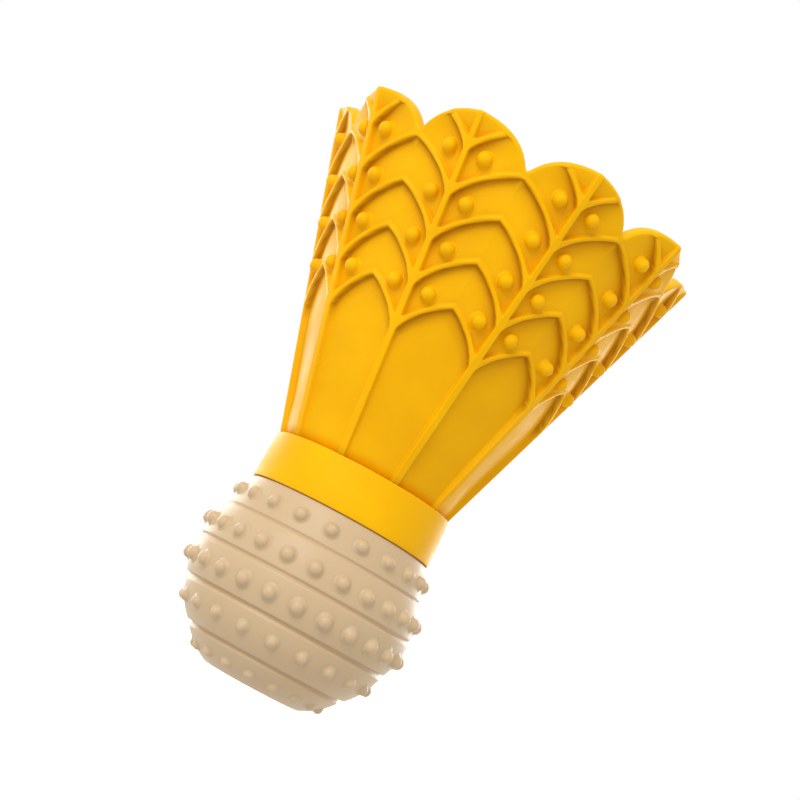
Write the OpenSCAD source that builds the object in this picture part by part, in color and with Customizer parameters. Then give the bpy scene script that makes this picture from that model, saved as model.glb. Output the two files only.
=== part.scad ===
// Shuttlecock-shaped chew toy: a hollow nubbed rubber ball with a squeaker, and a moulded rubber
// feather skirt. Millimetres. +Z runs up the axis from the ball's flat foot to the skirt's rim.

/* [Overall] */
// Height from the flat foot to the tips of the petals
total_h = 130; // [129:0.5:131]
// Petals round the skirt
petals = 10; // [10:1:10]

/* [Ball] */
// Radius of the flat foot
foot_r = 12.1; // [11.5:0.1:12.5]
// Radius at the widest groove
ball_r = 26.85; // [26.5:0.05:27.2]
// Wall thickness of the hollow ball
ball_wall = 4.5; // [4:0.1:5]
// How far the fullest band between two grooves bulges past a straight line
band_bulge = 0.8; // [0.6:0.05:0.9]
// Half width of a groove's mouth
groove_half_w = 0.6; // [0.4:0.05:0.8]
// Depth of a groove
groove_d = 0.8; // [0.5:0.05:1]
// Radius of the rounded nubs
nub_r = 1.8; // [1.4:0.05:1.9]
// How far a nub's centre lies under the ball's surface
nub_sink = 0.2; // [0.1:0.05:0.5]

/* [Collar] */
// Height of the collar's lower edge
collar_z = 42.1; // [42:0.1:42.3]
// Height of the collar's upper edge
collar_top_z = 53.5; // [53.3:0.1:53.6]
// Outer radius at the lower edge
collar_r = 22.7; // [22.5:0.05:22.9]
// Thickness of the collar band at its lower edge
collar_wall = 2.5; // [2.4:0.05:2.6]

/* [Skirt] */
// Radius to the ridge of a quill where it leaves the collar
quill_root_r = 22.25; // [22.1:0.05:22.4]
// Outward slope of a quill, as radius gained over height gained
quill_slope = 0.332; // [0.32:0.002:0.34]
// Height of the lowest joint between a quill and its barbs
node_z = 82.3; // [82:0.1:82.6]
// Height from one joint to the next
node_pitch = 9.83; // [9.7:0.01:9.9]
// Joints on each quill
node_count = 5; // [5:1:5]
// How far the lowest arch rises above its joints
arch_rise = 9.3; // [9.2:0.05:9.5]
// How much more each arch rises than the one below
arch_rise_step = 0.3; // [0.2:0.05:0.35]
// Half of the turn along one barb, in degrees
barb_turn = 14; // [12:0.5:16]
// Half width of a quill
quill_half_w = 0.65; // [0.55:0.05:0.75]
// Half width of a barb
barb_half_w = 0.45; // [0.4:0.05:0.55]
// Height of the ribs over the petals
rib_h = 1.3; // [1.1:0.05:1.5]
// Thickness of a petal between its ribs
petal_t = 2.6; // [2.4:0.05:2.7]
// Radius of a petal's rounded tip
petal_r = 16.4; // [16:0.1:16.8]
// Lowest height that the notch between two petals may reach
notch_z = 122.6; // [121.5:0.1:122.7]
// Radius of the nubs on the petals
petal_nub_r = 1.75; // [1.6:0.05:1.8]
// Sideways distance from a quill to its nubs
petal_nub_off = 4.6; // [4.4:0.05:4.8]
// Height of a pair of nubs above their joint
petal_nub_rise = 9.2; // [9:0.05:9.3]

/* [Neck] */
// Outer radius of the ball's neck
neck_r = 16.5; // [16.3:0.1:16.6]
// Bore through the neck
neck_bore_r = 10; // [9.9:0.05:10.1]
// Height of the top of the neck
neck_top_z = 50; // [49.8:0.1:50.2]
// Thickness of the skirt's web, which the plug clamps
web_t = 2.5; // [2.3:0.1:2.6]
// Radius of the plug's head
plug_head_r = 14.5; // [14:0.1:15]
// Thickness of the plug's head
plug_head_t = 2.4; // [2.2:0.1:2.6]

/* [Squeaker] */
// Outer radius of the cup
cup_r = 6.5; // [6.4:0.05:6.6]
// Thickness of the cup's wall
cup_wall = 1; // [0.9:0.05:1.1]
// Width of the reed
reed_w = 3.2; // [3:0.1:3.4]
// Length of the reed from its pivot
reed_l = 8.2; // [8:0.1:8.4]
// Thickness of the reed
reed_t = 0.25; // [0.2:0.01:0.3]
// How far the reed lifts, in degrees
reed_lift = 8; // [6:1:8]

/* [Hidden] */
skin = "#f7b800";
ball_colour = "#d2b48c";
$fn = 96;
gap = 0.05;

// The ball's outline: [radius, height] at the foot, at each groove and at the collar.
groove_pts = [[19.5, 6], [25, 15.3], [ball_r, 24.8], [24.8, 33.9]];
ball_pts = concat([[foot_r, 0]], groove_pts, [[22, collar_z + 0.2]]);
// Each band, from the foot up: its bulge as a share of band_bulge, and its row of nubs as
// height, number of nubs and radius as a share of nub_r.
bands = [[0.3, 2.4, 17, 0.7], [1, 10.9, 20, 0.8], [0.9, 19.9, 25, 1], [0.6, 29, 25, 1],
    [0.3, 37.8, 20, 0.9]];

// Skirt geometry. Each bay between two quills is a flat face that leans outward.
bay = 360 / petals;
face_slope = quill_slope * cos(bay / 2);
lean = atan(face_slope);
face_root = quill_root_r * cos(bay / 2);
neck_gap_z = 44;
// The inner edge of a tip is the highest point, because the face leans outward.
petal_tip_z = total_h - (rib_h + petal_t) * sin(lean);
petal_centre_z = petal_tip_z - petal_r * cos(lean);
root_drop = 3;
sleeve_r = collar_r - collar_wall;
plug_z = 39;
skirt_in_r = face_root - (rib_h + petal_t) / cos(lean);
web_top_z = neck_top_z + gap + web_t;

// The squeaker's cup hangs in the plug by its rim, with the reed's plate and clamp inside it.
cup_z = 41;
cup_top_z = web_top_z + plug_head_t;
cup_rim_w = 1.5;
cup_rim_t = 1.2;
air_hole_r = 2.2;
plate_z = 47;
plate_t = 1.2;
plate_r = cup_r - cup_wall - gap;
bead_r = 0.35;
pivot_x = -reed_l / 2;
pivot_z = plate_z + plate_t + bead_r + gap;
clamp_l = 2.2;
clamp_h = 2;
cap_t = 1.4;
cap_skirt_in_r = plate_r - 0.5;
slot_w = 1;
slot_l = 5.6;
slot_pitch = 2.4;

// Radius to a quill's ridge at height z.
function quill_r(z) = quill_root_r + quill_slope * (z - collar_top_z);
// Radius to the corner between two faces set in by depth, at height z.
function corner_r(z, depth) = quill_r(z) - depth / cos(lean) / cos(bay / 2);
// Half the width of a flat face at height z.
function half_bay(z) = quill_r(z) * sin(bay / 2);
// Distance up the leaning face that belongs to height z.
function up(z) = (z - collar_top_z) / cos(lean);
// Height of joint k, and of the peak of the arch that springs from it.
function joint_z(k) = node_z + node_pitch * k;
function peak_z(k) = joint_z(k) + arch_rise + arch_rise_step * k;
// Points along an arc from a to b that turns by 2 * turn degrees, as [x, y].
function arc(a, b, turn, steps) =
    let (d = b - a, r = norm(d) / 2 / sin(turn), dir = atan2(d[1], d[0]))
    [for (i = [0:steps]) let (t = turn * (1 - 2 * i / steps))
        a + r * [sin(dir + turn) - sin(dir + t), cos(dir + t) - cos(dir + turn)]];
// Corners of a regular polygon with a flat side uppermost.
function facets(r, count) =
    [for (i = [0:count - 1]) let (a = (i + 0.5) * 360 / count) r * [sin(a), cos(a)]];
// The ball's outline between two of its points, bulged outward.
function band(a, b, bulge) =
    let (turn = 2 * atan(2 * bulge / norm(b - a)))
    [for (p = arc([a[1], a[0]], [b[1], b[0]], turn, 6)) [p[1], p[0]]];
// Radius of the straight line through the outline's points at height z.
function chord_r(z) = lookup(z, [for (p = ball_pts) [p[1], p[0]]]);
// Slope of that line, in degrees from upright.
function chord_tilt(z) = atan((chord_r(z + 0.4) - chord_r(z - 0.4)) / 0.8);

// ---- Ball ----

module ball_outline() {
    outline = concat(
        [[0, 0]],
        [for (i = [0:len(ball_pts) - 2])
            for (p = band(ball_pts[i], ball_pts[i + 1], bands[i][0] * band_bulge)) p],
        [[21.2, 43.4], [neck_r, neck_gap_z], [neck_r, neck_top_z], [0, neck_top_z]]
    );
    polygon(outline);
}

module ball_hollow() {
    polygon([
        [0, ball_wall], [8.5, ball_wall], [15.5, 8], [20, 15.5], [ball_r - ball_wall, 24.8],
        [20, 34], [16, 40], [12, neck_gap_z], [neck_bore_r, neck_gap_z],
        [neck_bore_r, neck_top_z + 1], [0, neck_top_z + 1]
    ]);
}

module groove_cutter(p) {
    polygon([
        p + [1.5, -groove_half_w - 0.5], p + [0.3, -groove_half_w], p + [-groove_d, -0.25],
        p + [-groove_d, 0.25], p + [0.3, groove_half_w], p + [1.5, groove_half_w + 0.5]
    ]);
}

module nub_row(bulge, z, count, share) {
    rise = bulge * band_bulge - nub_sink;
    tilt = chord_tilt(z);
    for (i = [0:count - 1])
        rotate([0, 0, i * 360 / count - 90])
            translate([chord_r(z) + rise * cos(tilt), 0, z - rise * sin(tilt)])
                sphere(r = nub_r * share, $fn = 24);
}

module ball_shell() {
    color(ball_colour)
    union() {
        rotate_extrude()
            difference() {
                ball_outline();
                ball_hollow();
                for (p = groove_pts) groove_cutter(p);
            }
        for (b = bands) nub_row(b[0], b[1], b[2], b[3]);
    }
}

// ---- Skirt ----

// Puts children, drawn flat with x sideways and y up the face, on the face of bay i.
module on_face(i, depth) {
    rotate([0, 0, (i + 0.5) * bay])
        translate([face_root, 0, collar_top_z])
            rotate([0, lean, 0])
                translate([-depth, 0, 0])
                    rotate([90, 0, 90]) children();
}

// The solid inside all the leaning faces, set in by depth and longer by past at both ends.
module bell(depth, past = 0) {
    low = collar_top_z + gap - past;
    high = total_h + 10 + past;
    translate([0, 0, low])
        cylinder(r1 = corner_r(low, depth), r2 = corner_r(high, depth), h = high - low,
            $fn = petals);
}

// What is cut away between two petals, seen on the face between them.
module notch_outline() {
    difference() {
        translate([-half_bay(total_h) - 6, up(notch_z)])
            square([2 * half_bay(total_h) + 12, total_h]);
        for (side = [-1, 1])
            translate([side * half_bay(petal_centre_z), up(petal_centre_z)])
                polygon(facets(petal_r, 60));
    }
}

// One pointed arch of two barbs, from the joints k of two quills to the middle of the bay.
module arch(k) {
    foot = [-half_bay(joint_z(k)), up(joint_z(k))];
    line = arc(foot, [0, up(peak_z(k))], barb_turn, 8);
    steps = len(line) - 1;
    half_w_peak = barb_half_w * 1.1;
    function normal(i) = let (d = line[min(i + 1, steps)] - line[max(i - 1, 0)])
        barb_half_w * [-d[1], d[0]] / norm(d);
    above = [for (i = [0:steps - 1]) line[i] + normal(i)];
    below = [for (i = [0:steps - 1]) line[i] - normal(i)];
    polygon(concat(
        above, [line[steps] + [0, half_w_peak]],
        [for (i = [1:steps]) [-above[steps - i][0], above[steps - i][1]]],
        [for (p = below) [-p[0], p[1]]],
        [line[steps] - [0, half_w_peak]],
        [for (i = [1:steps]) below[steps - i]]
    ));
}

module quill(i) {
    rotate([0, 0, i * bay])
        translate([quill_root_r, 0, collar_top_z])
            rotate([0, atan(quill_slope), 0])
                translate([-2 * rib_h, -quill_half_w, -root_drop])
                    cube([3 * rib_h, 2 * quill_half_w, total_h]);
}

module ribs(i) {
    quill(i);
    on_face(i, 1.5 * rib_h)
        linear_extrude(height = 2 * rib_h)
            for (k = [0:node_count - 1]) arch(k);
}

// The round-topped nubs beside the quills, which stand on posts as tall as the ribs.
module petal_nubs(i) {
    post_h = rib_h + nub_sink;
    for (k = [0:node_count - 2]) {
        z = joint_z(k) + petal_nub_rise;
        for (side = [-1, 1])
            on_face(i, 0)
                translate([side * (half_bay(z) - petal_nub_off), up(z), 0]) {
                    sphere(r = petal_nub_r, $fn = 24);
                    translate([0, 0, -post_h])
                        cylinder(r = petal_nub_r - gap, h = post_h, $fn = 24);
                }
    }
}

// The skirt's root: a sleeve inside the collar, and the web that the plug clamps.
module skirt_root() {
    web_z = web_top_z - web_t;
    ring_top_z = collar_top_z + root_drop;
    rotate_extrude()
        polygon([
            [neck_bore_r, web_z], [neck_r + gap, web_z], [neck_r + gap, neck_gap_z + gap],
            [sleeve_r - gap, neck_gap_z + gap], [sleeve_r - gap, collar_top_z + gap],
            [sleeve_r - 0.5, ring_top_z], [skirt_in_r, ring_top_z], [skirt_in_r, web_top_z],
            [neck_bore_r, web_top_z]
        ]);
}

module feather_skirt() {
    color(skin)
    union() {
        difference() {
            intersection() {
                union() {
                    bell(rib_h, 1);
                    for (i = [0:petals - 1]) ribs(i);
                }
                bell(0);
            }
            bell(rib_h + petal_t, 5);
            for (i = [0:petals - 1])
                on_face(i, 3 * petal_t) linear_extrude(height = 4 * petal_t) notch_outline();
        }
        for (i = [0:petals - 1]) petal_nubs(i);
        skirt_root();
    }
}

// ---- Collar and plug ----

module collar_band() {
    color(skin)
    rotate_extrude()
        polygon([
            [sleeve_r, neck_gap_z + 0.1], [21.5, 43.5], [collar_r - 0.5, collar_z],
            [collar_r - 0.15, collar_z + 0.1], [collar_r, collar_z + 0.4],
            [quill_root_r + 0.3, collar_top_z - 0.7], [quill_root_r + 0.05, collar_top_z - 0.2],
            [quill_root_r - 0.3, collar_top_z], [sleeve_r, collar_top_z]
        ]);
}

module neck_plug() {
    head_z = web_top_z + gap;
    barb_r = neck_bore_r + 1.2;
    seat_r = cup_r + cup_rim_w + gap;
    color("white")
    rotate_extrude()
        polygon([
            [cup_r + gap, plug_z], [neck_bore_r - 1.2, plug_z],
            [barb_r, neck_gap_z - 1.2], [barb_r, neck_gap_z - gap],
            [neck_bore_r - gap, neck_gap_z - gap], [neck_bore_r - gap, head_z],
            [plug_head_r, head_z], [plug_head_r, cup_top_z - 0.8],
            [plug_head_r - 1.2, cup_top_z], [seat_r, cup_top_z],
            [seat_r, cup_top_z - cup_rim_t], [cup_r + gap, cup_top_z - cup_rim_t]
        ]);
}

// ---- Squeaker ----

module squeaker_cup() {
    color("lightsteelblue")
    difference() {
        union() {
            translate([0, 0, cup_z]) cylinder(r = cup_r, h = cup_top_z - cup_z);
            translate([0, 0, cup_top_z - cup_rim_t + gap])
                cylinder(r = cup_r + cup_rim_w, h = cup_rim_t - gap);
        }
        // The seat for the reed plate, the chamber below it and the air hole.
        translate([0, 0, plate_z - gap]) cylinder(r = cup_r - cup_wall, h = 20);
        translate([0, 0, cup_z + cup_wall]) cylinder(r = cup_r - 2 * cup_wall, h = 20);
        translate([0, 0, cup_z - 1]) cylinder(r = air_hole_r, h = 20);
    }
}

module reed_plate() {
    window_x = pivot_x + clamp_l + 0.3;
    window_w = reed_w - 1;
    color("white")
    difference() {
        translate([0, 0, plate_z]) cylinder(r = plate_r, h = plate_t);
        // The window that the reed covers.
        translate([window_x, -window_w / 2, plate_z - 1])
            cube([reed_l - clamp_l - 1.1, window_w, plate_t + 2]);
    }
}

module squeaker_reed() {
    color("gold")
    union() {
        translate([pivot_x, 0, pivot_z])
            rotate([90, 0, 0]) cylinder(r = bead_r, h = reed_w, center = true, $fn = 32);
        translate([pivot_x, -reed_w / 2, pivot_z - reed_t / 2]) cube([reed_l, reed_w, reed_t]);
    }
}

module reed_clamp() {
    w = reed_w + 2;
    base = plate_z + plate_t + gap / 2;
    mouth = clamp_l + 2;
    color("white")
    difference() {
        intersection() {
            translate([-plate_r, -w / 2, base]) cube([plate_r + pivot_x + clamp_l, w, clamp_h]);
            translate([0, 0, base]) cylinder(r = cap_skirt_in_r - gap, h = clamp_h);
        }
        // The socket for the reed's bead.
        translate([pivot_x, 0, pivot_z])
            rotate([90, 0, 0])
                cylinder(r = bead_r + gap, h = reed_w + 2 * gap, center = true, $fn = 32);
        // The tapered mouth that lets the reed lift.
        translate([pivot_x, reed_w / 2 + gap, pivot_z])
            rotate([90, 0, 0])
                linear_extrude(height = reed_w + 2 * gap)
                    polygon([[0, -clamp_h], [mouth, -clamp_h],
                        [mouth, mouth * tan(reed_lift + 3) + reed_t], [0, reed_t]]);
    }
}

module squeaker_cap() {
    skirt_z = plate_z + plate_t + gap;
    color("lightsteelblue")
    difference() {
        translate([0, 0, skirt_z]) cylinder(r = plate_r, h = cup_top_z - skirt_z);
        translate([0, 0, skirt_z - 1])
            cylinder(r = cap_skirt_in_r, h = cup_top_z - cap_t - skirt_z + 1);
        // Slots that let the sound out.
        for (i = [-1:1])
            translate([i * slot_pitch - slot_w / 2, -slot_l / 2, cup_top_z - cap_t - 1])
                cube([slot_w, slot_l, cap_t + 2]);
    }
}

ball_shell();
feather_skirt();
collar_band();
neck_plug();
squeaker_cup();
reed_plate();
squeaker_reed();
reed_clamp();
squeaker_cap();
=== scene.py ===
"""Finished look of a shuttlecock-shaped rubber chew toy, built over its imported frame.

Sizes inside the toy's classes are in millimetres; meshes are written in metres. +Z runs up the toy's
axis, the origin is the middle of the ball's flat foot, and -Y faces a notch between two petals.
"""

from __future__ import annotations

import logging
import math
from dataclasses import dataclass, field
from enum import Enum

import bmesh
import bpy
from mathutils import Matrix, Quaternion, Vector


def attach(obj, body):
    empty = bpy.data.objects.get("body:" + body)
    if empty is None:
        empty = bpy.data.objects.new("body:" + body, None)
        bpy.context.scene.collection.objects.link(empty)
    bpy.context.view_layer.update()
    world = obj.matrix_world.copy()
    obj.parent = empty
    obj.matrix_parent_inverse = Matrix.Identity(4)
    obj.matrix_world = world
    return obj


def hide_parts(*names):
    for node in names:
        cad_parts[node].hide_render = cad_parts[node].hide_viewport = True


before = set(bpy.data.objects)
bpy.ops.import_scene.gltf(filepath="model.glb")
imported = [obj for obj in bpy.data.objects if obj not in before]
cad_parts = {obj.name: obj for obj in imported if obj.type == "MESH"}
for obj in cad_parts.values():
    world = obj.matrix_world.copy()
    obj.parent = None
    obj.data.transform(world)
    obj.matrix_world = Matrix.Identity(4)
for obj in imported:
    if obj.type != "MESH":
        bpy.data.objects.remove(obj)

log = logging.getLogger("toy")
MM = 0.001
WHITE = (1, 1, 1, 1)

# Radius, sideways distance, height and painted shade amount of one point of the skirt.
SkirtPoint = tuple[float, float, float, float]


def smoothstep(low: float, high: float, x: float) -> float:
    """Return 0 below low, 1 above high and a smooth blend between."""
    t = min(max((x - low) / (high - low), 0.0), 1.0)
    return t * t * (3.0 - 2.0 * t)


def mix(a: float, b: float, t: float) -> float:
    """Return the value a share t of the way from a to b."""
    return a + (b - a) * t


def arc_between(start: Vector, end: Vector, bulge: float, steps: int) -> list[Vector]:
    """Return points on a circular arc in the XZ plane.

    Args:
        start: First point.
        end: Last point.
        bulge: How far the arc's middle stands off the chord, to the right of the way from start to end.
        steps: Number of pieces that the arc is cut into.

    Returns:
        steps + 1 points, start and end included.
    """
    chord = end - start
    side = Vector((chord.z, 0.0, -chord.x)).normalized()
    radius = (chord.length**2 / 4 + bulge**2) / (2 * bulge)
    half = math.asin(chord.length / 2 / abs(radius))
    centre = start.lerp(end, 0.5) + side * (bulge - radius)
    points = []
    for i in range(steps + 1):
        turn = half * (2 * i / steps - 1)
        along = chord.normalized() * (abs(radius) * math.sin(turn))
        points.append(centre + side * (radius * math.cos(turn)) + along)
    return points


def flat_points(pairs: list[tuple[float, float]]) -> list[Vector]:
    """Return pairs of radius and height as points in the XZ plane."""
    return [Vector((radius, 0, z)) for radius, z in pairs]


def finish_mesh(bm: bmesh.types.BMesh, name: str, smooth: bool = True) -> bpy.types.Object:
    """Turn a bmesh in metres into an object at the origin and free the bmesh.

    Args:
        bm: The finished shape.
        name: Name for the object and its mesh.
        smooth: Whether faces are shaded smooth.

    Returns:
        The new object, linked to the scene.
    """
    mesh = bpy.data.meshes.new(name)
    for face in bm.faces:
        face.smooth = smooth
    bm.to_mesh(mesh)
    bm.free()
    piece = bpy.data.objects.new(name, mesh)
    bpy.context.scene.collection.objects.link(piece)
    return piece


def spin_outline(points: list[Vector], steps: int) -> bmesh.types.BMesh:
    """Spin an outline in the XZ plane round the Z axis.

    Args:
        points: The outline in millimetres, from one end to the other or back to its start.
        steps: Number of steps round the axis.

    Returns:
        A closed bmesh in metres with its faces outwards.
    """
    bm = bmesh.new()
    verts = [bm.verts.new(p * MM) for p in points]
    edges = [bm.edges.new(pair) for pair in zip(verts, verts[1:])]
    bmesh.ops.spin(
        bm, geom=verts + edges, cent=(0, 0, 0), axis=(0, 0, 1), angle=math.tau, steps=steps, use_merge=True
    )
    bmesh.ops.remove_doubles(bm, verts=bm.verts, dist=1e-6)
    bmesh.ops.dissolve_degenerate(bm, edges=bm.edges, dist=1e-7)
    bmesh.ops.recalc_face_normals(bm, faces=bm.faces)
    return bm


def ranged(
    tree: bpy.types.NodeTree,
    source: bpy.types.NodeSocket,
    span: tuple[float, float],
    result: tuple[float, float],
    smooth: bool = False,
) -> bpy.types.NodeSocket:
    """Add a node that maps one range of a value to another.

    Args:
        tree: The node tree to add to.
        source: The socket that gives the value.
        span: The value's lowest and highest end.
        result: What those two ends become.
        smooth: Whether the way between them is a smooth step and not a straight line.

    Returns:
        The socket that gives the result.
    """
    node = tree.nodes.new("ShaderNodeMapRange")
    if smooth:
        node.interpolation_type = "SMOOTHSTEP"
    for name, value in zip(("From Min", "From Max", "To Min", "To Max"), (*span, *result)):
        node.inputs[name].default_value = value
    tree.links.new(source, node.inputs["Value"])
    return node.outputs["Result"]


def noise(
    tree: bpy.types.NodeTree, place: bpy.types.NodeSocket, scale: float, detail: float
) -> bpy.types.Node:
    """Add a noise texture.

    Args:
        tree: The node tree to add to.
        place: The socket that gives the coordinates.
        scale: Noise cycles per metre.
        detail: Number of finer layers.

    Returns:
        The new node.
    """
    node = tree.nodes.new("ShaderNodeTexNoise")
    node.inputs["Scale"].default_value = scale
    node.inputs["Detail"].default_value = detail
    tree.links.new(place, node.inputs["Vector"])
    return node


class Grain(Enum):
    """Size of the fine moulded texture on a surface, as noise cycles per metre."""

    RUBBER = 2600.0
    PLASTIC = 1800.0


@dataclass(frozen=True)
class MouldedFinish:
    """A moulded rubber or plastic surface.

    The colour drifts a little over the piece, painted shade darkens recesses towards a deeper tone,
    and the gloss is uneven where the piece has been handled.
    """

    name: str
    base: tuple[float, float, float]
    deep: tuple[float, float, float]
    roughness: float
    grain: Grain = Grain.RUBBER
    grain_height: float = 0.00002
    coat: float = 0.0
    coat_roughness: float = 0.25
    shine: float = 0.2
    subsurface: float = 0.0
    glow: tuple[float, float, float] = (0.002, 0.001, 0.0005)
    # Whether painted shade from the mesh's hollow attribute darkens the colour.
    paints_recess_shade: bool = False
    drift_scale: float = 55.0
    drift_span: tuple[float, float] = (0.35, 0.75)
    drift_most: float = 0.22
    smudge_scale: float = 140.0
    smudge_span: tuple[float, float] = (0.3, 0.7)
    gloss_swing: tuple[float, float] = (0.06, 0.08)
    swell_scale: float = 320.0
    swell_share: float = 1.6
    bump_strength: float = 0.35

    def material(self) -> bpy.types.Material:
        """Build the node material for this finish.

        Returns:
            The new material, with its patterns on the object's own coordinates.
        """
        made = bpy.data.materials.new(self.name)
        made.use_nodes = True
        tree = made.node_tree
        shader = tree.nodes["Principled BSDF"]
        place = tree.nodes.new("ShaderNodeTexCoord").outputs["Object"]
        self.add_colour(tree, shader, place)
        self.add_gloss(tree, shader, place)
        self.add_relief(tree, shader, place)
        shader.inputs["Specular IOR Level"].default_value = self.shine
        shader.inputs["Coat Weight"].default_value = self.coat
        shader.inputs["Coat Roughness"].default_value = self.coat_roughness
        shader.inputs["Subsurface Weight"].default_value = self.subsurface
        shader.inputs["Subsurface Radius"].default_value = self.glow
        shader.inputs["Subsurface Scale"].default_value = 1.0
        return made

    def add_colour(
        self, tree: bpy.types.NodeTree, shader: bpy.types.Node, place: bpy.types.NodeSocket
    ) -> None:
        """Give the shader its drifting colour, with painted shade from the hollow attribute in recesses.

        Args:
            tree: The material's node tree.
            shader: The surface's shader.
            place: The socket that gives the object's coordinates.
        """
        drift = noise(tree, place, self.drift_scale, 3.0)
        amount = ranged(tree, drift.outputs["Fac"], self.drift_span, (0.0, self.drift_most))
        # Painted shade: the hollow attribute pulls the colour towards the deep tone in recesses.
        if self.paints_recess_shade:
            hollow = tree.nodes.new("ShaderNodeAttribute")
            hollow.attribute_name = "hollow"
            more = tree.nodes.new("ShaderNodeMath")
            more.operation = "ADD"
            more.use_clamp = True
            tree.links.new(hollow.outputs["Fac"], more.inputs[0])
            tree.links.new(amount, more.inputs[1])
            amount = more.outputs["Value"]
        colour = tree.nodes.new("ShaderNodeMix")
        colour.data_type = "RGBA"
        colour.inputs[6].default_value = (*self.base, 1.0)
        colour.inputs[7].default_value = (*self.deep, 1.0)
        tree.links.new(amount, colour.inputs[0])
        tree.links.new(colour.outputs[2], shader.inputs["Base Color"])

    def add_gloss(
        self, tree: bpy.types.NodeTree, shader: bpy.types.Node, place: bpy.types.NodeSocket
    ) -> None:
        """Give the shader its uneven gloss.

        Args:
            tree: The material's node tree.
            shader: The surface's shader.
            place: The socket that gives the object's coordinates.
        """
        smudge = noise(tree, place, self.smudge_scale, 5.0)
        smudge.inputs["Roughness"].default_value = 0.6
        less, more = self.gloss_swing
        ends = (self.roughness - less, self.roughness + more)
        gloss = ranged(tree, smudge.outputs["Fac"], self.smudge_span, ends)
        tree.links.new(gloss, shader.inputs["Roughness"])

    def add_relief(
        self, tree: bpy.types.NodeTree, shader: bpy.types.Node, place: bpy.types.NodeSocket
    ) -> None:
        """Give the shader its fine grain over a slow swell.

        Args:
            tree: The material's node tree.
            shader: The surface's shader.
            place: The socket that gives the object's coordinates.
        """
        grain = noise(tree, place, self.grain.value, 2.0)
        swell = noise(tree, place, self.swell_scale, 1.0)
        relief = tree.nodes.new("ShaderNodeMath")
        relief.operation = "MULTIPLY_ADD"
        relief.inputs[1].default_value = self.swell_share
        tree.links.new(swell.outputs["Fac"], relief.inputs[0])
        tree.links.new(grain.outputs["Fac"], relief.inputs[2])
        bump = tree.nodes.new("ShaderNodeBump")
        bump.inputs["Strength"].default_value = self.bump_strength
        bump.inputs["Distance"].default_value = self.grain_height
        tree.links.new(relief.outputs["Value"], bump.inputs["Height"])
        tree.links.new(bump.outputs["Normal"], shader.inputs["Normal"])


@dataclass(frozen=True)
class Nub:
    """One round-topped nub that flows into the surface it stands on.

    Its foot follows a surface that falls away from the middle like a sphere of radius ground.
    """

    radius: float
    height: float
    fillet: float
    ground: float
    segments: int = 18
    foot_steps: int = 4
    dome_steps: int = 6
    root: float = 0.4
    sink: float = 0.05

    def outline(self) -> list[Vector]:
        """Return the nub's outline.

        Returns:
            Points from the axis under the surface, up the nub's side and over its top.
        """
        centre = self.height - self.radius
        level = min(centre, self.fillet)
        reach = math.sqrt((self.radius + self.fillet) ** 2 - (self.fillet - level) ** 2)
        lowest = math.asin((self.fillet - level) / (self.radius + self.fillet))
        points = []
        for i in range(self.foot_steps + 1):
            a = (math.pi / 2 - lowest) * i / self.foot_steps
            out = reach - self.fillet * math.sin(a)
            fall = out**2 / (2 * self.ground)
            points.append(Vector((out, 0, self.fillet * (1 - math.cos(a)) - fall)))
        for i in range(1, self.dome_steps + 1):
            a = mix(lowest, math.pi / 2, i / self.dome_steps)
            out = self.radius * math.cos(a)
            points.append(Vector((out, 0, centre + self.radius * math.sin(a))))
        points[-1].x = 0.0
        points[0].z -= self.sink
        low = points[0].z - self.root
        return [Vector((0, 0, low)), Vector((reach, 0, low)), *points]

    def stamp(self, target: bmesh.types.BMesh, places: list[Matrix]) -> None:
        """Copy the nub into target at each place.

        Args:
            target: The bmesh, in metres, that receives the nubs.
            places: One matrix for each nub, which takes +Z to the outward normal.
        """
        template = bpy.data.meshes.new("nub_template")
        bm = spin_outline(self.outline(), self.segments)
        bm.to_mesh(template)
        bm.free()
        for place in places:
            copy = template.copy()
            copy.transform(place)
            target.from_mesh(copy)
            bpy.data.meshes.remove(copy)
        bpy.data.meshes.remove(template)


@dataclass(frozen=True)
class Groove:
    """A ring groove round the ball: where its middle lies, half its width and its depth."""

    radius: float
    z: float
    half_width: float
    depth: float


@dataclass(frozen=True)
class NubRow:
    """A ring of equal nubs: its height, their number, radius and height, and one nub's azimuth."""

    z: float
    count: int
    radius: float
    height: float
    azimuth: float


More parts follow.
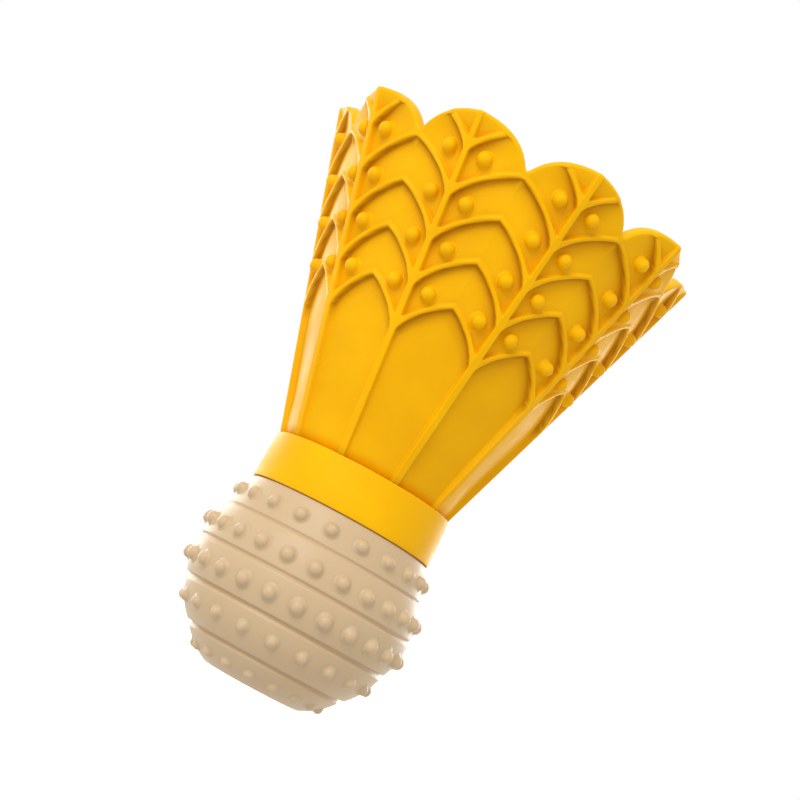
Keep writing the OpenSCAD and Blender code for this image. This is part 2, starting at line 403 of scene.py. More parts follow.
@dataclass
class Ball:
    """The hollow rubber ball: bulging bands, ring grooves between them and five rows of nubs."""

    foot_radius: float = 12.1
    foot_round: float = 0.6
    wall: float = 4.5
    neck_radius: float = 16.5
    neck_bore: float = 10.0
    neck_z: float = 44.0
    neck_top: float = 50.0
    neck_edge: float = 0.2
    top_radius: float = 22.35
    top_z: float = 41.8
    top_edge: float = 0.12
    shoulder: tuple[tuple[float, float], ...] = ((21.65, 42.4), (21.2, 43.3))
    hollow_high: tuple[tuple[float, float], ...] = ((12.0, 44.0), (16.0, 40.0), (20.0, 34.0))
    hollow_low: tuple[tuple[float, float], ...] = ((20.0, 15.5), (15.5, 8.0))
    hollow_floor: float = 8.5
    groove_side: tuple[float, float] = (0.4, 1.15)
    nub_fillet: float = 0.9
    nub_ground: float = 19.0
    rings: int = 160
    arc_steps: int = 40
    bulges: tuple[float, ...] = (0.7, 0.95, 0.75, 0.5, 0.2)
    grooves: tuple[Groove, ...] = (
        Groove(19.5, 6.0, 0.75, 0.75),
        Groove(25.0, 15.3, 0.62, 0.7),
        Groove(26.85, 24.8, 0.52, 0.6),
        Groove(24.8, 33.9, 0.36, 0.45),
    )
    rows: tuple[NubRow, ...] = (
        NubRow(2.3, 17, 1.25, 0.95, -5.0),
        NubRow(10.95, 20, 1.3, 1.3, -0.7),
        NubRow(19.9, 25, 1.65, 1.7, 2.0),
        NubRow(28.85, 25, 1.65, 1.75, 1.0),
        NubRow(37.8, 20, 1.55, 1.6, -1.0),
    )

    def corners(self) -> list[Vector]:
        """Return the foot's edge, each groove's middle and the top edge, from the foot up."""
        middle = [Vector((g.radius, 0, g.z)) for g in self.grooves]
        return [Vector((self.foot_radius, 0, 0)), *middle, Vector((self.top_radius, 0, self.top_z))]

    def band(self, index: int) -> list[Vector]:
        """Return the arc of one band between the middles of the grooves beside it."""
        corners = self.corners()
        return arc_between(corners[index], corners[index + 1], self.bulges[index], self.arc_steps)

    def normal(self, index: int) -> Vector:
        """Return the outward normal of the straight line under a band."""
        corners = self.corners()
        chord = (corners[index + 1] - corners[index]).normalized()
        return Vector((chord.z, 0, -chord.x))

    def cut(self, p: Vector) -> Vector:
        """Press the grooves into one point of the outside.

        Args:
            p: A point of a band's arc.

        Returns:
            The point, moved inwards as far as the grooves near it cut.
        """
        moved = p.copy()
        for index, groove in enumerate(self.grooves):
            gap = (p - Vector((groove.radius, 0, groove.z))).length / groove.half_width
            inward = -(self.normal(index) + self.normal(index + 1)).normalized()
            moved += inward * (groove.depth * (1 - smoothstep(*self.groove_side, gap)))
        return moved

    def outline(self) -> list[Vector]:
        """Return the outline of the shell.

        Returns:
            Points up the outside, over the shoulder and neck, down the bore and round the hollow.
        """
        outer = [self.cut(p) for index in range(len(self.bulges)) for p in self.band(index)[:-1]]
        widest = max(self.grooves, key=lambda groove: groove.radius)
        edge = self.neck_edge
        foot = [(0.0, 0.0), (self.foot_radius - self.foot_round, 0.0)]
        shoulder = [
            (self.top_radius, self.top_z),
            (self.top_radius - self.top_edge, self.top_z + self.top_edge),
            *self.shoulder,
        ]
        neck = [
            (self.neck_radius + edge, self.neck_z),
            (self.neck_radius, self.neck_z + edge),
            (self.neck_radius, self.neck_top - edge),
            (self.neck_radius - edge, self.neck_top),
            (self.neck_bore, self.neck_top),
            (self.neck_bore, self.neck_z),
        ]
        hollow = [
            *self.hollow_high,
            (widest.radius - self.wall, widest.z),
            *self.hollow_low,
            (self.hollow_floor, self.wall),
            (0.0, self.wall),
        ]
        return flat_points(foot) + outer + flat_points(shoulder + neck + hollow)

    def nub_places(self, index: int) -> list[Matrix]:
        """Place the nubs of one row.

        Args:
            index: The row, counted from the foot up.

        Returns:
            One matrix for each nub, on the surface with +Z outwards.
        """
        row, arc = self.rows[index], self.band(index)
        near = min(range(1, len(arc) - 1), key=lambda i: abs(arc[i].z - row.z))
        along = arc[near + 1] - arc[near - 1]
        tilt = math.pi / 2 + math.atan2(along.x, along.z)
        places = []
        for i in range(row.count):
            turn = math.radians(row.azimuth - 90) + math.tau * i / row.count
            place = Matrix.Rotation(turn, 4, "Z") @ Matrix.Translation(arc[near] * MM)
            places.append(place @ Matrix.Rotation(tilt, 4, "Y"))
        return places

    def build(self) -> bpy.types.Object:
        """Build the ball with its nubs as one moulding.

        Returns:
            The finished piece.
        """
        bm = spin_outline(self.outline(), self.rings)
        for index, row in enumerate(self.rows):
            nub = Nub(row.radius, row.height, self.nub_fillet, self.nub_ground)
            nub.stamp(bm, self.nub_places(index))
        return finish_mesh(bm, "nubbed_ball")


@dataclass
class Collar:
    """The plain band over the joint between the skirt and the ball."""

    low_z: float = 42.15
    high_z: float = 53.5
    low_radius: float = 22.7
    high_radius: float = 22.25
    inner_radius: float = 20.2
    inner_edge: float = 0.2
    seat: tuple[tuple[float, float], ...] = ((20.2, 44.1), (21.45, 43.4), (22.2, 42.15))
    low_round: float = 0.18
    low_steps: int = 3
    high_round: float = 0.35
    high_steps: int = 4
    belly: float = 0.06
    belly_steps: int = 10
    rings: int = 160

    def outline(self) -> list[Vector]:
        """Return the band's outline, with rounded edges and a slight belly.

        Returns:
            Points from the seat on the ball up the outside and down the inside, back to the start.
        """
        low = Vector((self.low_radius, 0, self.low_z))
        high = Vector((self.high_radius, 0, self.high_z))
        points = flat_points(list(self.seat))
        for i in range(self.low_steps + 1):
            a = math.pi / 2 * i / self.low_steps
            points.append(low + self.low_round * Vector((math.sin(a) - 1, 0, 1 - math.cos(a))))
        for i in range(1, self.belly_steps):
            swell = self.belly * math.sin(math.pi * i / self.belly_steps)
            points.append(low.lerp(high, i / self.belly_steps) + Vector((swell, 0, 0)))
        for i in range(self.high_steps + 1):
            a = math.pi / 2 * i / self.high_steps
            points.append(high + self.high_round * Vector((math.cos(a) - 1, 0, math.sin(a) - 1)))
        inner, edge = self.inner_radius, self.inner_edge
        points += flat_points([(inner + edge, self.high_z), (inner, self.high_z - edge)])
        return points + [points[0].copy()]

    def build(self) -> bpy.types.Object:
        """Build the band."""
        return finish_mesh(spin_outline(self.outline(), self.rings), "collar_ring")


@dataclass
class Skirt:
    """The flared skirt: ten ribbed petals, round nubs and the root that sits inside the collar.

    A place on a petal is given by u, the distance from the nearest quill along the leaning face, and z.
    Five arches join the quills. Under the lowest lies a long panel, and over each a scale-like floor.
    """

    petals: int = 10
    root_z: float = 53.55
    root_radius: float = 22.25
    slope: float = 0.332
    # Arches: the lowest joint with a quill, their pitch, their peaks and their slopes in degrees.
    joint_z: float = 82.3
    joint_pitch: float = 9.83
    peaks: tuple[float, ...] = (91.6, 102.0, 111.9, 121.6, 131.0)
    start_slope: float = 53.0
    end_slope: float = 23.0
    spread_z: float = 5.0
    # Rim: a rounded tip on each quill and a notch between two quills.
    tip_z: float = 129.4
    tip_half: float = 14.6
    tip_height: float = 12.0
    tip_fullness: float = 2.4
    notch_z: float = 122.9
    notch_round: float = 0.4
    rim_round: float = 0.8
    rim_steps: int = 6
    rim_round_inside: float = 0.9
    rim_steps_inside: int = 4
    rim_spread_z: float = 3.0
    rim_pull: float = 6.0
    # Ribs: half widths at the top, and half the width of their sloping sides.
    quill_half: float = 1.0
    quill_taper: float = 0.8
    quill_taper_z: tuple[float, float] = (60.0, 128.0)
    quill_side: float = 0.24
    quill_crown: float = 0.75
    quill_crown_fade: float = 0.4
    barb_half: float = 0.55
    barb_side: float = 0.16
    fork_spread: float = 0.85
    fork_reach: float = 1.0
    # Floors: how far they lie under the ribs' tops, as depths and as the shares where these change.
    panel_low: float = 0.85
    panel_deep: float = 1.3
    panel_ramp: tuple[float, float] = (0.0, 0.3)
    panel_step: float = 0.3
    panel_step_ramp: tuple[float, float] = (0.7, 1.0)
    panel_crown: float = 0.3
    panel_crown_ramp: tuple[float, float] = (0.1, 1.0)
    scale_deep: float = 1.65
    scale_rise: float = 1.2
    scale_ramp: tuple[float, float] = (0.02, 0.65)
    scale_power: float = 1.1
    scale_fall: float = 0.25
    ditch: float = 0.16
    ditch_ramp: tuple[float, float] = (1.0, 1.6)
    open_height: float = 10.0
    rim_fade: float = 0.25
    rim_fade_reach: tuple[float, float] = (0.5, 6.5)
    # Painted shade: how much deeper the colour is made on a floor, under an arch, inside and at the root.
    floor_tone: float = 0.08
    arch_painted_shadow: float = 0.8
    arch_painted_shadow_reach: float = 0.85
    rib_painted_shade_edge: float = 0.6
    inside_painted_shade: float = 0.5
    root_painted_shade: float = 0.3
    # Wall: its thickness at the rim and below, and the rows of the inside.
    wall_rim: float = 3.4
    wall_deep: float = 3.9
    wall_ramp: tuple[float, float] = (0.0, 0.25)
    wall_rows: int = 11
    wall_foot: float = 1.0
    # Root: the part inside the collar, as radius and height from the bell's floor to the sleeve.
    sleeve_radius: float = 20.15
    sleeve_step: float = 0.01
    root: tuple[tuple[float, float], ...] = (
        (17.3, 52.9), (17.0, 52.6), (16.6, 52.55), (10.2, 52.55), (10.0, 52.35), (10.0, 50.05),
        (16.55, 50.05), (16.55, 44.05), (20.15, 44.05), (20.15, 53.2),
    )  # fmt: skip
    # Nubs: one on each side of a quill over each of its lower joints.
    nub_rows: int = 4
    nub_offset: float = 4.55
    nub_rise: float = 9.2
    nub_radius: float = 1.72
    nub_stand: float = 1.3
    nub_fillet: float = 0.5
    nub_probe: float = 1.2
    flat_ground: float = 1000.0
    # Mesh: columns by distance from the quill, close together on its side. Those after the fixed ones
    # spread with the bay. Rows lie close together across each arch.
    columns: tuple[float, ...] = (
        0.0, 0.35, 0.58, 0.7, 0.82, 0.94, 1.06, 1.2, 1.38, 1.65, 2.0, 2.5, 3.0, 3.55, 4.1, 4.7, 5.3,
        5.9, 6.5, 7.1, 7.7, 8.3, 8.9, 9.5, 10.05, 10.55, 10.95, 11.25, 11.48, 11.65,
    )  # fmt: skip
    fixed: int = 9
    barb_rows: tuple[float, ...] = (
        -1.3, -1.0, -0.82, -0.66, -0.5, -0.34, 0.0, 0.34, 0.5, 0.66, 0.82, 1.0, 1.3, 1.6,
    )  # fmt: skip
    column_spread_z: float = 4.0
    panel_rows: int = 13
    scale_rows: int = 6
    tip_rows: int = 5
    tip_row_pitch: float = 0.7
    packed_pitch: float = 0.03

    def __post_init__(self) -> None:
        """Work out the angles that the rest is built on."""
        self.half_angle = math.pi / self.petals
        self.face_slope = self.slope * math.cos(self.half_angle)
        self.lean = math.atan(self.face_slope)
        self.face_root = self.root_radius * math.cos(self.half_angle)

    def face_radius(self, z: float) -> float:
        """Return the distance from the axis to the middle of a leaning face."""
        return self.face_root + self.face_slope * (z - self.root_z)

    def half_bay(self, z: float) -> float:
        """Return half the width of a leaning face."""
        return self.face_radius(z) * math.tan(self.half_angle)

    def rise(self, v: float) -> tuple[float, float]:
        """Follow an arch from its quill to its peak.

        Args:
            v: The share of the way.

        Returns:
            The arch's rise so far and its slope there, both as shares of the whole.
        """
        a0, a1 = math.radians(self.start_slope), math.radians(self.end_slope)
        sin_a = math.sin(a0) - min(v, 1.0) * (math.sin(a0) - math.sin(a1))
        a = math.asin(sin_a)
        total = math.cos(a1) - math.cos(a0)
        return (math.cos(a) - math.cos(a0)) / total, math.tan(a) * (math.sin(a0) - math.sin(a1)) / total

    def arch_z(self, k: int, v: float) -> float:
        """Return the height of arch k's middle line at a share v of the half bay."""
        low = self.joint_z + self.joint_pitch * k
        return low + (self.peaks[k] - low) * self.rise(v)[0]

    def arch_stretch(self, k: int, v: float) -> float:
        """Measure how steeply an arch is crossed by going up.

        Args:
            k: The arch, counted from the lowest.
            v: The share of the way from the quill to the peak.

        Returns:
            The height difference that belongs to one unit across the arch.
        """
        low = self.joint_z + self.joint_pitch * k
        slope = (self.peaks[k] - low) * self.rise(v)[1] / self.half_bay(low + self.spread_z)
        return math.sqrt(1 + (slope / math.cos(self.lean)) ** 2) * math.cos(self.lean)

    def rim_z(self, u: float) -> float:
        """Follow the scalloped rim.

        Args:
            u: Distance from the quill.

        Returns:
            The rim's height there.
        """
        across = min(abs(u) / self.tip_half, 1.0) ** self.tip_fullness
        scallop = self.tip_z - self.tip_height * (1 - (1 - across) ** (1 / self.tip_fullness))
        soft = self.notch_round
        return soft * math.log(math.exp((scallop - self.notch_z) / soft) + 1.0) + self.notch_z

    def panel_floor(self, v: float, t: float) -> float:
        """Return the depth of a long panel at a share v across and t up."""
        step = self.panel_step * smoothstep(*self.panel_step_ramp, t)
        floor = mix(self.panel_low, self.panel_deep, smoothstep(*self.panel_ramp, t)) + step
        return floor - self.panel_crown * smoothstep(*self.panel_crown_ramp, v)

    def scale_floor(self, v: float, t: float, above: float) -> float:
        """Return the depth of a floor between two arches.

        Args:
            v: The share of the way across.
            t: The share of the way up.
            above: Distance from the arch below, square to it.

        Returns:
            The depth in millimetres.
        """
        shallow = self.scale_rise * smoothstep(*self.scale_ramp, v) * (1 - t) ** self.scale_power
        ditch = self.ditch * (1 - smoothstep(*self.ditch_ramp, above))
        return self.scale_deep - shallow - self.scale_fall * v + ditch

    def depth(self, u: float, z: float) -> tuple[float, float]:
        """Return how far the surface lies under the ribs' tops, and how much painted shade it gets there.

        Args:
            u: Distance from the nearest quill.
            z: Height.

        Returns:
            The depth in millimetres, and a painted shade share from 0 on a rib to 1 at the darkest.
        """
        v = min(u / self.half_bay(z), 1.0)
        half = self.quill_half * mix(1.0, self.quill_taper, smoothstep(*self.quill_taper_z, z))
        off = smoothstep(half - self.quill_side, half + self.quill_side, u)
        wide = self.barb_half + self.fork_spread * math.exp(-u / self.fork_reach)
        under = 0.0
        band, low = 0, self.root_z
        for k in range(len(self.peaks)):
            middle = self.arch_z(k, v)
            across = (z - middle) / self.arch_stretch(k, v)
            off *= smoothstep(wide - self.barb_side, wide + self.barb_side, abs(across))
            # Painted shadow: a dark strip on the floor just under each arch's lower edge, fading with
            # distance.
            if across < 0:
                under = max(under, math.exp((across + wide) / self.arch_painted_shadow_reach))
            if across > 0:
                band, low = k + 1, middle
        high = self.arch_z(band, v) if band < len(self.peaks) else low + self.open_height
        t = (z - low) / (high - low)
        if band == 0:
            floor = self.panel_floor(v, t)
        else:
            above = (z - low) / self.arch_stretch(band - 1, v)
            floor = self.scale_floor(v, min(max(t, 0.0), 1.0), above)
        rim = (self.rim_z(u) - z) / math.cos(self.lean)
        floor *= mix(self.rim_fade, 1.0, smoothstep(*self.rim_fade_reach, rim))
        crown = (1 - smoothstep(0.0, half, u)) * half * math.tan(self.half_angle) * self.quill_crown
        # Painted shade: the colour darkens with floor depth and in the strip under each arch.
        tone = min(self.floor_tone * floor + self.arch_painted_shadow * under, 1.0)
        hollow = smoothstep(0.0, self.rib_painted_shade_edge, off) * tone
        return floor * off + crown * (1 - self.quill_crown_fade * off), hollow

    def place(self, u: float, z: float, depth: float) -> tuple[float, float, float]:
        """Return a point of the right half of a bay.

        Args:
            u: Distance from the quill.
            z: Height on the ribs' tops.
            depth: How far the point lies under the ribs' tops, square to the leaning face.

        Returns:
            Its radius, sideways distance and height.
        """
        share = 1 - min(u / self.half_bay(z), 1.0)
        radius = self.face_radius(z) - depth * math.cos(self.lean)
        return radius, share * radius * math.tan(self.half_angle), z + depth * math.sin(self.lean)

    def column_u(self, j: int, z: float) -> float:
        """Follow a column of the mesh up the petal.

        Args:
            j: The column, counted from the quill.
            z: Height.

        Returns:
            Its distance from the quill there.
        """
        edge = self.columns[self.fixed]
        if j <= self.fixed:
            return self.columns[j]
        share = (self.columns[j] - edge) / (self.columns[-1] - edge)
        return mix(edge, self.half_bay(z), share)

    def held_u(self, j: int, u: float, z: float, widest_z: float) -> float:
        """Hold a point inside its bay, with the first and last column on the bay's edges.

        Args:
            j: The column.
            u: Wanted distance from the quill.
            z: Height of the point.
            widest_z: Height whose half bay limits the columns between.

        Returns:
            The distance from the quill to use.
        """
        if j == 0:
            return 0.0
        if j == len(self.columns) - 1:
            return self.half_bay(z)
        return min(max(u, 0.0), self.half_bay(widest_z))

    def rim_normal(self, u: float) -> tuple[float, float]:
        """Find the direction square to the rim.

        Args:
            u: Distance from the quill.

        Returns:
            The direction in the leaning face, as (u, up).
        """
        step = 0.05
        slope = (self.rim_z(u + step) - self.rim_z(u - step)) / (2 * step) / math.cos(self.lean)
        length = math.hypot(1.0, slope)
        return -slope / length, 1.0 / length

    def below_rim(self, rim_u: float, away: float) -> tuple[float, float]:
        """Return the place at a distance from the rim, square to it, as (u, z)."""
        across, upward = self.rim_normal(rim_u)
        return rim_u - away * across, self.rim_z(rim_u) - away * upward * math.cos(self.lean)

    def ring(self, j: int, radius: float, z: float) -> SkirtPoint:
        """Return the point of column j on a plain circle."""
        share = 1 - self.column_u(j, self.root_z) / self.half_bay(self.root_z)
        turn = math.atan(share * math.tan(self.half_angle))
        # Painted shade: points round the root inside the collar get a fixed darker colour.
        return radius * math.cos(turn), radius * math.sin(turn), z, self.root_painted_shade

    def surface_heights(self, j: int, top: float) -> list[float]:
        """Spread column j's outer rows, packed under the rim where they would pass it.

        Args:
            j: The column.
            top: Height that the rows stay under.

        Returns:
            The rows' heights, from the root up.
        """
        rows: list[float] = []
        share = self.columns[j] / self.columns[-1]
        low = self.root_z
        for k in range(len(self.peaks)):
            u = self.column_u(j, self.joint_z + self.joint_pitch * k + self.column_spread_z)
            v = u / self.half_bay(self.arch_z(k, share))
            middle, stretch = self.arch_z(k, v), self.arch_stretch(k, v)
            first = middle + self.barb_rows[0] * stretch
            steps = self.panel_rows if k == 0 else self.scale_rows
            rows += [mix(low, first, i / steps) for i in range(0 if k == 0 else 1, steps)]
            rows += [middle + w * stretch for w in self.barb_rows]
            low = rows[-1]
        rows += [low + self.tip_row_pitch * i for i in range(1, self.tip_rows + 1)]
        count = len(rows)
        return [min(z, top - self.packed_pitch * (count - i)) for i, z in enumerate(rows)]

    def outside(self, j: int, rim_u: float) -> list[SkirtPoint]:
        """Return column j's points up the ribbed outside, drawn towards the rim's own spacing.

        Args:
            j: The column.
            rim_u: Where the column meets the rim.

        Returns:
            The points from the root up.
        """
        base_u, base_z = self.below_rim(rim_u, self.rim_round)
        points = []
        for z in self.surface_heights(j, base_z):
            pull = max(0.0, (z - base_z + self.rim_pull) / self.rim_pull) ** 2
            u = self.held_u(j, mix(self.column_u(j, z), base_u, min(pull, 1.0)), z, z)
            depth, hollow = self.depth(u, z)
            points.append((*self.place(u, z, depth), hollow))
        return points

    def over_rim(self, j: int, rim_u: float) -> list[SkirtPoint]:
        """Return column j's points over the rounded rim.

        Args:
            j: The column.
            rim_u: Where the column meets the rim.

        Returns:
            The points from the outside to the inside.
        """
        outer, inner = self.rim_round, self.rim_round_inside
        rim_depth = self.depth(*self.below_rim(rim_u, outer))[0]
        ways = []
        for i in range(self.rim_steps + 1):
            a = math.pi / 2 * i / self.rim_steps
            ways.append((outer * (1 - math.sin(a)), rim_depth + outer * (1 - math.cos(a))))
        for i in range(self.rim_steps_inside + 1):
            a = math.pi / 2 * i / self.rim_steps_inside
            ways.append((inner * (1 - math.cos(a)), self.wall_rim - inner * (1 - math.sin(a))))
        points = []
        for away, depth in ways:
            wanted, z = self.below_rim(rim_u, away)
            u = self.held_u(j, wanted, z, self.rim_z(rim_u))
            points.append((*self.place(u, z, depth), 0.0))
        return points

    def inside(self, j: int, rim_u: float) -> list[SkirtPoint]:
        """Return column j's points down the smooth inside.

        Args:
            j: The column.
            rim_u: Where the column meets the rim.

        Returns:
            The points from the rim down.
        """
        last_z = self.below_rim(rim_u, self.rim_round_inside)[1]
        points = []
        for i in range(1, self.wall_rows + 1):
            t = i / self.wall_rows
            z = mix(last_z, self.root_z + self.wall_foot, t)
            depth = mix(self.wall_rim, self.wall_deep, smoothstep(*self.wall_ramp, t))
            # Painted shade: the inside of the bell gets a fixed darker colour.
            points.append((*self.place(self.column_u(j, z), z, depth), self.inside_painted_shade))
        return points

    def column(self, j: int) -> list[SkirtPoint]:
        """Return every point of column j, for the right half of a bay.

        Args:
            j: The column.

        Returns:
            The points up the outside, over the rim, down the inside and round the root.
        """
        rim_u = self.column_u(j, self.notch_z + self.rim_spread_z)
        start = (self.root_z, self.root_z + self.sleeve_step)
        points = [self.ring(j, self.sleeve_radius, z) for z in start]
        points += self.outside(j, rim_u) + self.over_rim(j, rim_u) + self.inside(j, rim_u)
        points += [self.ring(j, radius, z) for radius, z in self.root]
        return points + [self.ring(j, self.sleeve_radius, self.root_z)]

    def grid(self) -> bmesh.types.BMesh:
        """Wrap one grid round the whole skirt and shape it column by column.

        Returns:
            A closed bmesh in metres, with each vertex's painted shade amount.
        """
        half_columns = len(self.columns) - 1
        table = [self.column(j) for j in range(half_columns + 1)]
        rows = len(table[0])
        across = half_columns * 2 * self.petals
        bm = bmesh.new()
        bmesh.ops.create_grid(bm, x_segments=across, y_segments=rows - 1, size=1.0)
        # The hollow attribute holds each vertex's painted shade, which darkens the yellow colour.
        hollow = bm.verts.layers.float.new("hollow")
        for vert in bm.verts:
            column = round((vert.co.x + 1) / 2 * across)
            row = round((vert.co.y + 1) / 2 * (rows - 1))
            half, j = divmod(column % across, half_columns)
            bay, second = divmod(half, 2)
            index = half_columns - j if second else j
            radius, sideways, z, amount = table[index][row]
            sideways = sideways if second else -sideways
            turn = -math.pi / 2 + bay * 2 * self.half_angle
            x = radius * math.cos(turn) - sideways * math.sin(turn)
            y = radius * math.sin(turn) + sideways * math.cos(turn)
            vert.co = Vector((x, y, z)) * MM
            vert[hollow] = amount
        bmesh.ops.remove_doubles(bm, verts=bm.verts, dist=1e-7)
        bmesh.ops.recalc_face_normals(bm, faces=bm.faces)
        return bm

    def floor_point(self, u: float, z: float) -> Vector:
        """Return the point of the outer surface at u and z, in millimetres."""
        return Vector(self.place(u, z, self.depth(u, z)[0]))

    def nub_places(self) -> list[Matrix]:
        """Place the skirt's nubs.

        Returns:
            One matrix for each nub, on the floor beside its quill with +Z outwards.
        """
        u, reach = self.nub_offset, self.nub_probe
        places = []
        for bay in range(self.petals):
            turn = Matrix.Rotation(-math.pi / 2 + bay * 2 * self.half_angle, 4, "Z")
            for k in range(self.nub_rows):
                z = self.joint_z + self.joint_pitch * k + self.nub_rise
                across = self.floor_point(u - reach, z) - self.floor_point(u + reach, z)
                upward = self.floor_point(u, z + reach) - self.floor_point(u, z - reach)
                outward = across.cross(upward)
                for side in (-1, 1):
                    flip = Vector((1, side, 1))
                    spot = Matrix.Translation(self.floor_point(u, z) * flip * MM)
                    lean = Vector((0, 0, 1)).rotation_difference(outward * flip)
                    places.append(turn @ spot @ lean.to_matrix().to_4x4())
        return places

    def build(self) -> bpy.types.Object:
        """Build the skirt with its nubs as one moulding.

        Returns:
            The finished piece.
        """
        bm = self.grid()
        floor = self.depth(self.nub_offset, self.joint_z + self.nub_rise)[0]
        nub = Nub(self.nub_radius, floor + self.nub_stand, self.nub_fillet, self.flat_ground)
        nub.stamp(bm, self.nub_places())
        return finish_mesh(bm, "petal_skirt")


class Finishes:
    """Every material of the toy, made once."""

    def __init__(self) -> None:
        """Build the materials."""
        self.yellow = MouldedFinish(
            "yellow_rubber",
            base=(0.95, 0.49, 0.0),
            # deep is the darker end of the random colour drift and also the colour of the painted shade.
            deep=(0.50, 0.18, 0.0),
            roughness=0.44,
            shine=0.09,
            subsurface=0.04,
            paints_recess_shade=True,
        ).material()
        self.beige = MouldedFinish(
            "beige_rubber",
            base=(0.62, 0.45, 0.262),
            deep=(0.55, 0.38, 0.21),
            roughness=0.38,
            shine=0.28,
            subsurface=0.08,
        ).material()
        self.plug = MouldedFinish(
            "plug_plastic",
            base=(0.78, 0.76, 0.70),
            deep=(0.66, 0.63, 0.56),
            roughness=0.5,
            grain=Grain.PLASTIC,
        ).material()
        self.squeaker = MouldedFinish(
            "squeaker_plastic",
            base=(0.74, 0.79, 0.84),
            deep=(0.62, 0.67, 0.73),
            roughness=0.3,
            grain=Grain.PLASTIC,
            coat=0.2,
        ).material()
        self.reed = MouldedFinish(
            "reed_plastic",
            base=(0.80, 0.70, 0.42),
            deep=(0.70, 0.58, 0.32),
            roughness=0.35,
            grain=Grain.PLASTIC,
        ).material()


@dataclass
class Squeaker:
    """The plug and the squeaker inside the neck: the frame's own parts, dressed."""

    parts: tuple[str, ...] = ("squeaker_cup", "reed_plate", "reed_clamp", "squeaker_cap")

    def dress(self, finishes: Finishes) -> None:
        """Give each hidden part its material.

        Args:
            finishes: The toy's materials.
        """
        for node in self.parts:
            self.paint(node, finishes.squeaker)
        self.paint("neck_plug", finishes.plug)
        self.paint("squeaker_reed", finishes.reed)

    @staticmethod
    def paint(node: str, material: bpy.types.Material) -> None:
        """Put a material in every slot of a frame part.

        Args:
            node: The part's name.
            material: Its finish.
        """
        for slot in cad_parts[node].material_slots:
            slot.material = material
        log.info("dressed %s", node)


@dataclass(frozen=True)
class Lamp:
    """A square soft light: its name, place and side in metres, and power in watts."""

    name: str
    place: tuple[float, float, float]
    size: float
    power: float

    def hang(self, target: Vector) -> None:
        """Add the light to the scene.

        Args:
            target: The point in metres that the light faces.
        """
        data = bpy.data.lights.new(self.name, "AREA")
        data.size = self.size
        data.energy = self.power
        lamp = bpy.data.objects.new(self.name, data)
        bpy.context.scene.collection.objects.link(lamp)
        lamp.location = self.place
        lamp.rotation_mode = "QUATERNION"
        lamp.rotation_quaternion = (target - Vector(self.place)).to_track_quat("-Z", "Y")


@dataclass(frozen=True)
class AirRamp:
    """How the surround's light changes along one axis: between which ends, and from what to what."""

    axis: str
    ends: tuple[float, float]
    strengths: tuple[float, float]


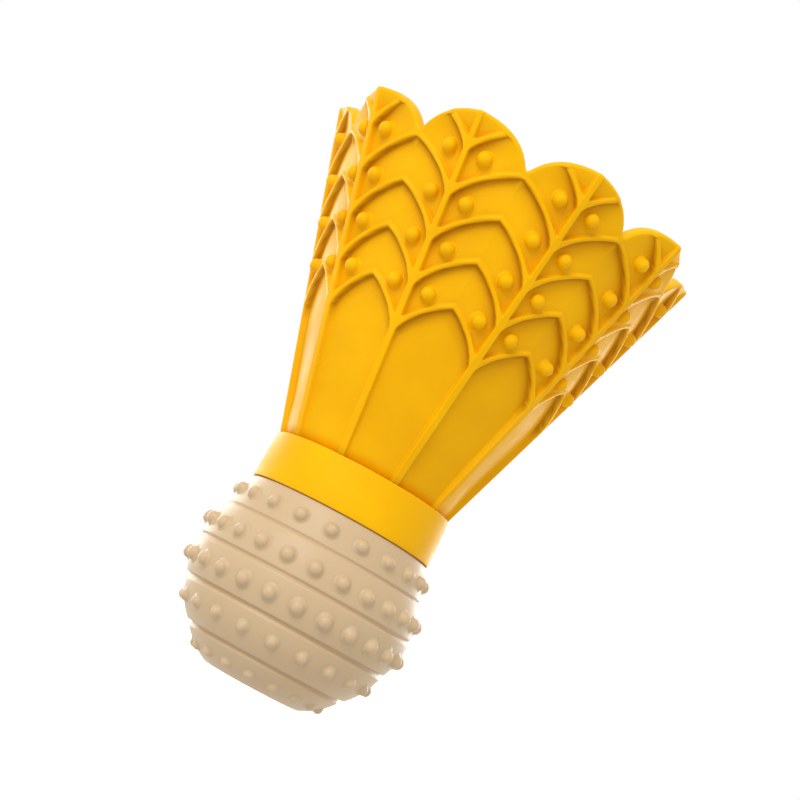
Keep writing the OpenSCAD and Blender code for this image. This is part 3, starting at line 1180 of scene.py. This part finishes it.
@dataclass
class Studio:
    """The pale floor, the soft lights and the camera, whose place and aim are in millimetres."""

    place: Vector = field(default_factory=lambda: Vector((3.7, -357.5, 15.6)))
    aim: Vector = field(default_factory=lambda: Vector((-1.1, -4.0, 73.1)))
    roll: float = 28.4
    lens: float = 69.65
    sensor: float = 36.0
    floor_half: float = 2.5
    floor_tone: float = 0.9
    floor_glow: float = 0.75
    toy_middle: Vector = field(default_factory=lambda: Vector((0, 0, 0.07)))
    air_ramps: tuple[AirRamp, ...] = (
        AirRamp("Y", (-0.1, 0.9), (0.75, 1.1)),
        AirRamp("Z", (-0.9, 0.7), (0.0, 0.1)),
        AirRamp("X", (-0.9, 0.6), (0.05, 0.0)),
    )
    lamps: tuple[Lamp, ...] = (
        Lamp("key", (-0.42, -0.84, 0.68), 0.6, 6.0),
        Lamp("rim_left", (-0.55, 0.7, 0.15), 0.5, 3.0),
        Lamp("rim_right", (0.42, 0.82, 0.3), 0.5, 3.0),
    )

    def camera(self) -> None:
        """Make the scene's camera."""
        data = bpy.data.cameras.new("camera")
        data.lens = self.lens
        data.sensor_width = self.sensor
        data.clip_start, data.clip_end = 0.01, 20.0
        camera = bpy.data.objects.new("camera", data)
        bpy.context.scene.collection.objects.link(camera)
        camera.rotation_mode = "QUATERNION"
        camera.location = self.place * MM
        look = (self.aim - self.place).to_track_quat("-Z", "Y")
        camera.rotation_quaternion = look @ Quaternion((0, 0, 1), math.radians(self.roll))
        bpy.context.scene.camera = camera

    def floor(self) -> None:
        """Lay the white floor, which casts no light back on the toy."""
        bm = bmesh.new()
        bmesh.ops.create_grid(bm, x_segments=4, y_segments=4, size=self.floor_half)
        floor = finish_mesh(bm, "floor", smooth=False)
        pale = bpy.data.materials.new("pale_floor")
        pale.use_nodes = True
        shader = pale.node_tree.nodes["Principled BSDF"]
        tone = self.floor_tone
        shader.inputs["Base Color"].default_value = (tone, tone, tone, 1)
        shader.inputs["Roughness"].default_value = 0.9
        shader.inputs["Emission Color"].default_value = WHITE
        shader.inputs["Emission Strength"].default_value = self.floor_glow
        floor.data.materials.append(pale)
        floor.visible_diffuse = False
        floor.visible_glossy = False

    def air(self) -> None:
        """Make a surround that looks white and lights the toy more from behind than from the front."""
        scene = bpy.context.scene
        scene.view_settings.view_transform = "Standard"
        world = bpy.data.worlds.new("studio_air")
        scene.world = world
        world.use_nodes = True
        tree = world.node_tree
        nodes, links = tree.nodes, tree.links
        sky = nodes["Background"]
        sky.inputs["Color"].default_value = WHITE
        way = nodes.new("ShaderNodeSeparateXYZ")
        links.new(nodes.new("ShaderNodeTexCoord").outputs["Generated"], way.inputs["Vector"])
        shares = [
            ranged(tree, way.outputs[ramp.axis], ramp.ends, ramp.strengths, smooth=True)
            for ramp in self.air_ramps
        ]
        total = shares[0]
        for share in shares[1:]:
            add = nodes.new("ShaderNodeMath")
            links.new(total, add.inputs[0])
            links.new(share, add.inputs[1])
            total = add.outputs["Value"]
        links.new(total, sky.inputs["Strength"])
        seen = nodes.new("ShaderNodeBackground")
        seen.inputs["Color"].default_value = WHITE
        choose = nodes.new("ShaderNodeMixShader")
        links.new(nodes.new("ShaderNodeLightPath").outputs["Is Camera Ray"], choose.inputs["Fac"])
        links.new(sky.outputs["Background"], choose.inputs[1])
        links.new(seen.outputs["Background"], choose.inputs[2])
        links.new(choose.outputs["Shader"], nodes["World Output"].inputs["Surface"])

    def build(self) -> None:
        """Build the whole studio."""
        self.air()
        self.floor()
        self.camera()
        for lamp in self.lamps:
            lamp.hang(self.toy_middle)


def main() -> None:
    """Build the toy, dress it and set the stage."""
    logging.basicConfig(level=logging.INFO)
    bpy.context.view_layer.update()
    Studio().build()
    finishes = Finishes()
    for maker, node, material, slot in (
        (Ball(), "ball_shell", finishes.beige, "beige_rubber"),
        (Collar(), "collar_band", finishes.yellow, "yellow_rubber"),
        (Skirt(), "feather_skirt", finishes.yellow, "yellow_rubber"),
    ):
        piece = maker.build()
        piece.data.materials.append(material)
        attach(piece, "toy")
        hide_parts(node)
        log.info("%s: %d faces", piece.name, len(piece.data.polygons))
    Squeaker().dress(finishes)


if __name__ == "__main__":
    main()
